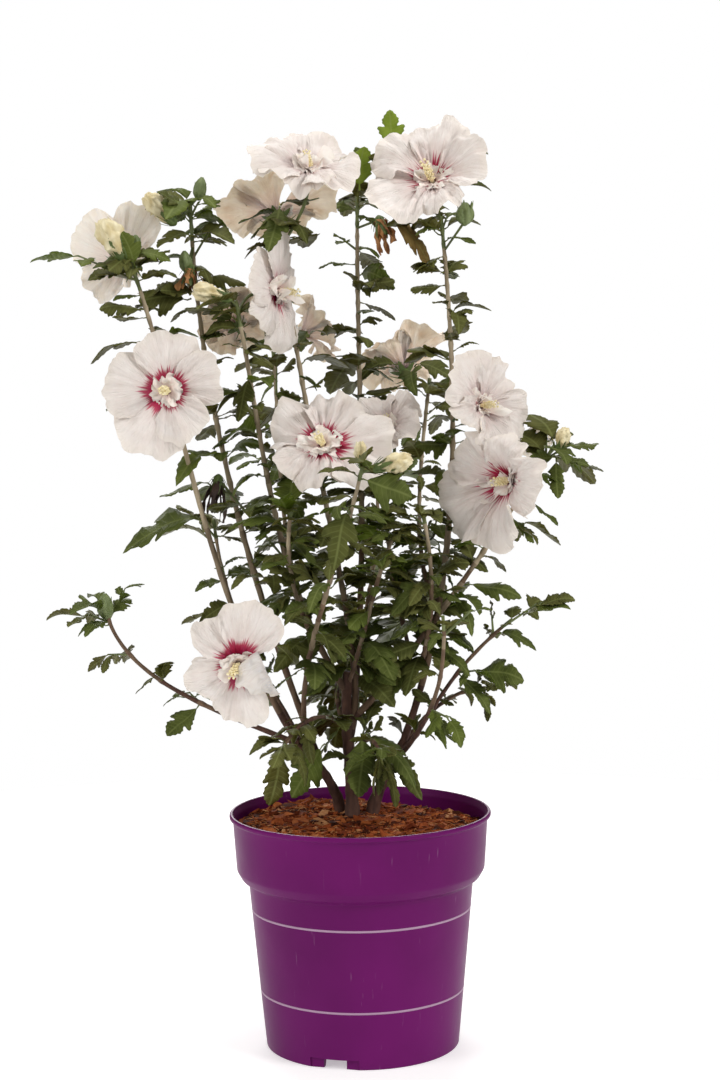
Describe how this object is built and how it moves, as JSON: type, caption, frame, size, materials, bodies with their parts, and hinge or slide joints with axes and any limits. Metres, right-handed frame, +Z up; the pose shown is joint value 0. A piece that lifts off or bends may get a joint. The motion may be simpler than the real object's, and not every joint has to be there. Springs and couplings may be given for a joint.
{
  "type": "potted rose of sharon shrub",
  "caption": "Rose of sharon shrub in flower, many leafy upright canes with pale, dark-eyed open blooms, growing in a round purple nursery pot.",
  "frame": {"origin": "middle of the flat underside of the pot", "axes": "+Z up through the plant, +X to the right and -Y towards the viewer of the plant's front"},
  "size_m": [0.4933, 0.35, 0.8347],
  "materials": {
    "pot": "satin moulded plastic",
    "mulch": "damp shredded bark",
    "bark": "fine grey-brown bark",
    "greenery": "soft satin leaf",
    "petals": "thin crinkled petal"
  },
  "bodies": {
    "root": {"pot": "pot", "soil": "mulch", "stem_left": "bark", "stem_middle": "bark", "stem_right": "bark", "bough_far_left": "bark", "bough_left": "bark", "bough_middle_left": "bark", "bough_middle": "bark", "bough_right": "bark", "bough_rear_middle": "bark", "bough_rear_left": "bark", "bough_leaning_right": "bark", "bough_front": "bark", "bough_right_side": "bark", "bough_left_side": "bark", "bough_front_right": "bark", "bough_back": "bark", "bough_back_left": "bark", "foliage_far_left": "greenery", "foliage_left": "greenery", "foliage_middle_left": "greenery", "foliage_middle": "greenery", "foliage_right": "greenery", "foliage_rear_middle": "greenery", "foliage_rear_left": "greenery", "foliage_leaning_right": "greenery", "foliage_front": "greenery", "foliage_right_side": "greenery", "foliage_left_side": "greenery", "foliage_front_right": "greenery", "foliage_back": "greenery", "foliage_back_left": "greenery", "foliage_rear_right": "greenery", "foliage_inner": "greenery", "foliage_low_front_left": "greenery", "foliage_low_front": "greenery", "foliage_low_right": "greenery", "foliage_low_back": "greenery", "foliage_heart": "greenery", "foliage_heart_left": "greenery", "foliage_heart_right": "greenery", "bloom_far_left_away": "petals", "bloom_far_left_open": "petals", "bloom_left_low": "petals", "bloom_top_left": "petals", "bloom_top_left_away": "petals", "bloom_left_edge_on": "petals", "bloom_inner_left_away": "petals", "bloom_rear_left_away": "petals", "bloom_centre": "petals", "bloom_centre_small": "petals", "bloom_rear_right_away": "petals", "bloom_top_right": "petals", "bloom_right_open": "petals", "bloom_right_low_open": "petals", "bloom_right_tip_away": "petals"}
  },
  "joints": []
}
